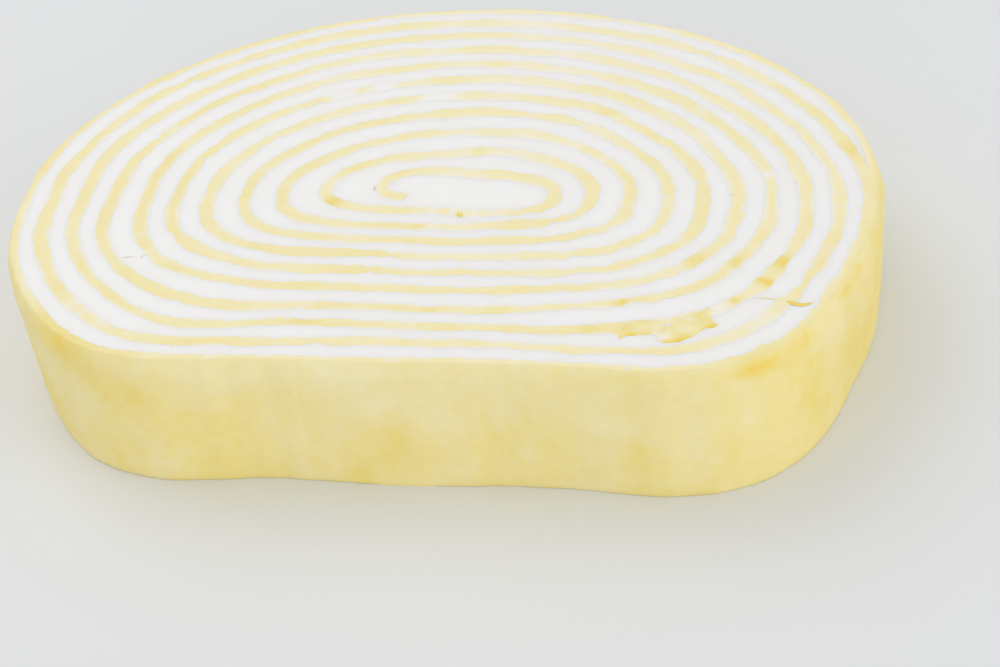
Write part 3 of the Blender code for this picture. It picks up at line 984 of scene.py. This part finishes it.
def make_crumbs(surface):
    """Crumbs of crepe beside its cut edges, and one larger browned one."""
    random = np.random.default_rng(CRUMB_SEED)
    ball, faces = round_ball()
    start, end = (length_at(turn) for turn in CRUMB_TURNS)
    turns = turn_at(random.uniform(start, end, CRUMBS))
    sides = random.choice([-1.0, 1.0, 1.0], CRUMBS)
    offsets = random.exponential(CRUMB_SPREAD, CRUMBS) - CRUMB_OVERLAP
    beside = sides * (0.5 * crepe_thickness(turns) + offsets)
    spots = np.vstack([beside_line(turns, beside[:, None], 0.0)[:, 0], MIDDLE + ORANGE_PLACE])
    sizes = np.append(blend(*CRUMB_SIZES, random.random(CRUMBS) ** 2), ORANGE_SIZE)
    parts, browning = [], []
    for k, (spot, size) in enumerate(zip(spots, sizes)):
        stretch = (random.uniform(*CRUMB_LENGTHS), random.uniform(*CRUMB_WIDTHS), CRUMB_THICKNESS)
        uneven = 1.0 + noise_at(ball + k, CRUMB_UNEVENNESS)
        shaped = ball * np.array(stretch) * size * uneven[:, None]
        spot[2] = SLICE_HEIGHT + CRUMB_RISE * size
        parts.append((shaped + spot, faces))
        browning.append(np.full(len(ball), random.uniform(*CRUMB_BROWNING)))
    browning[-1][:] = ORANGE_BROWNING
    points, all_faces = joined(parts)
    made = make_mesh("crumbs", points, all_faces, surface, {"browning": np.concatenate(browning)})


# ---- surfaces

# The crepe from pale to browned, as positions of browning and linear colours
CREPE_TONES = (
    (0.00, (0.94, 0.90, 0.78)), (0.30, (0.94, 0.855, 0.52)), (0.50, (0.92, 0.80, 0.39)),
    (0.68, (0.90, 0.75, 0.27)), (0.84, (0.91, 0.70, 0.16)), (1.00, (0.87, 0.59, 0.07)),
)
FILM_COLOUR = (0.93, 0.915, 0.89, 1.0)
CREAM_TONES = ((0.3, (0.925, 0.91, 0.88)), (0.7, (0.94, 0.93, 0.915)))
FLECK_TONES = ((0.3, (0.70, 0.60, 0.44)), (0.7, (0.78, 0.70, 0.54)))
FLOOR_TONES = ((0.3, (0.775, 0.790, 0.800)), (0.7, (0.790, 0.805, 0.815)))
BLOTCH_SIZE = 1.6 * MM
BLOTCHES = 0.22
SPECK_SIZE = 0.35 * MM
SPECKS = 0.16


def new_surface(name):
    surface = bpy.data.materials.new(name)
    surface.use_nodes = True
    tree = surface.node_tree
    return surface, tree, tree.nodes["Principled BSDF"]


def set_inputs(node, values):
    for name, value in values.items():
        node.inputs[name].default_value = value


def add_noise(tree, size, detail=2.0, roughness=0.5):
    """Noise with lumps of a size in metres, fixed to the object."""
    place_of = tree.nodes.new("ShaderNodeTexCoord")
    noise = tree.nodes.new("ShaderNodeTexNoise")
    set_inputs(noise, {"Scale": 1.0 / size, "Detail": detail, "Roughness": roughness})
    tree.links.new(place_of.outputs["Object"], noise.inputs["Vector"])
    return noise.outputs["Fac"]


def add_attribute(tree, name):
    """A value that the mesh has at its points."""
    node = tree.nodes.new("ShaderNodeAttribute")
    node.attribute_name = name
    return node.outputs["Fac"]


def add_math(tree, operation, first, second):
    node = tree.nodes.new("ShaderNodeMath")
    node.operation = operation
    for socket, value in zip(node.inputs, (first, second)):
        if isinstance(value, float):
            socket.default_value = value
        else:
            tree.links.new(value, socket)
    return node.outputs["Value"]


def add_mix(tree, share, first, second_colour):
    """A colour that turns into a second, plain one."""
    node = tree.nodes.new("ShaderNodeMix")
    node.data_type = "RGBA"
    tree.links.new(share, node.inputs[0])
    tree.links.new(first, node.inputs[6])
    node.inputs[7].default_value = second_colour
    return node.outputs[2]


def add_ramp(tree, value, stops):
    ramp = tree.nodes.new("ShaderNodeValToRGB")
    elements = ramp.color_ramp.elements
    while len(elements) < len(stops):
        elements.new(1.0)
    for element, (position, colour) in zip(elements, stops):
        element.position = position
        element.color = (*colour, 1.0)
    tree.links.new(value, ramp.inputs["Fac"])
    return ramp.outputs["Color"]


def add_variation(tree, value, size, detail, amount):
    """A value made uneven by noise, as much up as down."""
    noise = add_math(tree, "SUBTRACT", add_noise(tree, size, detail), 0.5)
    return add_math(tree, "ADD", value, add_math(tree, "MULTIPLY", noise, amount))


def add_bump(tree, shader, height, distance, strength):
    bump_node = tree.nodes.new("ShaderNodeBump")
    set_inputs(bump_node, {"Distance": distance, "Strength": strength})
    tree.links.new(height, bump_node.inputs["Height"])
    tree.links.new(bump_node.outputs["Normal"], shader.inputs["Normal"])


def crepe_surface():
    """Egg crepe: pale yellow where it is cut, golden where its skin browned."""
    surface, tree, shader = new_surface("crepe")
    tone = add_variation(tree, add_attribute(tree, "browning"), BLOTCH_SIZE, 3.0, BLOTCHES)
    tone = add_variation(tree, tone, SPECK_SIZE, 2.0, SPECKS)
    colour = add_mix(tree, add_attribute(tree, "film"), add_ramp(tree, tone, CREPE_TONES), FILM_COLOUR)
    tree.links.new(colour, shader.inputs["Base Color"])
    tree.links.new(add_variation(tree, 0.605, 0.8 * MM, 2.0, 0.25), shader.inputs["Roughness"])
    add_bump(tree, shader, add_noise(tree, 0.22 * MM, 3.0, 0.6), 0.05 * MM, 0.7)
    set_inputs(shader, {"Specular IOR Level": 0.35})
    return surface


def cream_surface():
    """Whipped cream: white, smooth and slightly moist."""
    surface, tree, shader = new_surface("cream")
    colour = add_ramp(tree, add_noise(tree, 3.5 * MM, 3.0), CREAM_TONES)
    tree.links.new(colour, shader.inputs["Base Color"])
    tree.links.new(add_variation(tree, 0.43, 1.2 * MM, 2.0, 0.22), shader.inputs["Roughness"])
    add_bump(tree, shader, add_noise(tree, 0.45 * MM, 3.0, 0.55), 0.03 * MM, 0.5)
    set_inputs(shader, {"Specular IOR Level": 0.4, "Subsurface Weight": 0.3})
    set_inputs(shader, {"Subsurface Radius": (1.0, 0.95, 0.85), "Subsurface Scale": 1.6 * MM})
    return surface


def plain_surface(name, tones, size, roughness):
    """A surface whose colour varies a little."""
    surface, tree, shader = new_surface(name)
    tree.links.new(add_ramp(tree, add_noise(tree, size), tones), shader.inputs["Base Color"])
    set_inputs(shader, {"Roughness": roughness})
    return surface


# ---- floor, light and camera

FLOOR_SIZE = 3.0
SKY_COLOUR = (0.985, 0.99, 1.0, 1.0)
SKY_STRENGTH = 0.70

Lamp = namedtuple("Lamp", "name place size power colour")
LAMPS = (
    Lamp("window_light", (-0.45, 0.35, 0.70), 0.70, 2.0, (1.0, 0.99, 0.98)),
    Lamp("front_fill", (0.10, -0.80, 0.26), 0.60, 1.0, (1.0, 0.985, 0.96)),
    Lamp("right_fill", (0.80, -0.20, 0.30), 0.60, 1.5, (1.0, 0.985, 0.96)),
)

# The camera, as the photograph's perspective places it
CAMERA_TARGET = Vector((5.39 * MM, -15.24 * MM, 7.8 * MM))  # from the middle of the roll
CAMERA_DISTANCE = 222.06 * MM
CAMERA_HEADING = math.radians(-13.5)
CAMERA_TILT = math.radians(38.6)
CAMERA_ROLL = math.radians(-7.12)
CAMERA_LENS = 75.6
SENSOR_WIDTH = 36.0
CAMERA_CLIP = 10.0 * MM


def make_floor():
    half = 0.5 * FLOOR_SIZE
    corners = [(-half, -half, 0.0), (half, -half, 0.0), (half, half, 0.0), (-half, half, 0.0)]
    mesh = bpy.data.meshes.new("floor")
    mesh.from_pydata(corners, [], [(0, 1, 2, 3)])
    mesh.materials.append(plain_surface("floor", FLOOR_TONES, 60.0 * MM, 0.6))
    add_object("floor", mesh)


def make_lights():
    world = bpy.data.worlds.new("soft_room")
    world.use_nodes = True
    set_inputs(world.node_tree.nodes["Background"], {"Color": SKY_COLOUR, "Strength": SKY_STRENGTH})
    bpy.context.scene.world = world
    for lamp in LAMPS:
        light = bpy.data.lights.new(lamp.name, "AREA")
        light.size = lamp.size
        light.energy = lamp.power
        light.color = lamp.colour
        made = add_object(lamp.name, light)
        made.location = lamp.place
        made.rotation_euler = (-Vector(lamp.place)).to_track_quat("-Z", "Y").to_euler()


def make_camera():
    lens = bpy.data.cameras.new("camera")
    lens.lens = CAMERA_LENS
    lens.sensor_width = SENSOR_WIDTH
    lens.clip_start = CAMERA_CLIP
    camera = add_object("camera", lens)
    camera.matrix_world = (
        Matrix.Translation(Vector(MIDDLE) + CAMERA_TARGET)
        @ Matrix.Rotation(-CAMERA_HEADING, 4, "Z")
        @ Matrix.Rotation(0.5 * math.pi - CAMERA_TILT, 4, "X")
        @ Matrix.Rotation(CAMERA_ROLL, 4, "Z")
        @ Matrix.Translation((0.0, 0.0, CAMERA_DISTANCE))
    )
    bpy.context.scene.camera = camera


# ---- the whole

crepe_look = crepe_surface()
cream_look = cream_surface()
fleck_look = plain_surface("browned_fleck", FLECK_TONES, 0.3 * MM, 0.7)
make_inner_crepe("crepe_heart_turns", INNER_END_TURN, HEART_PIECE_END_TURN, crepe_look)
make_inner_crepe("crepe_middle_turns", HEART_PIECE_END_TURN, OUTER_PIECE_START_TURN, crepe_look)
make_outer_crepe(crepe_look)
make_cream(cream_look)
make_smears(cream_look)
make_flake(crepe_look)
make_slivers("crepe_slivers", CREPE_SLIVERS, crepe_look)
make_slivers("browned_flecks", BROWN_SLIVERS, fleck_look)
make_crumbs(crepe_look)
make_floor()
make_lights()
make_camera()
bpy.context.scene.view_settings.view_transform = "Standard"
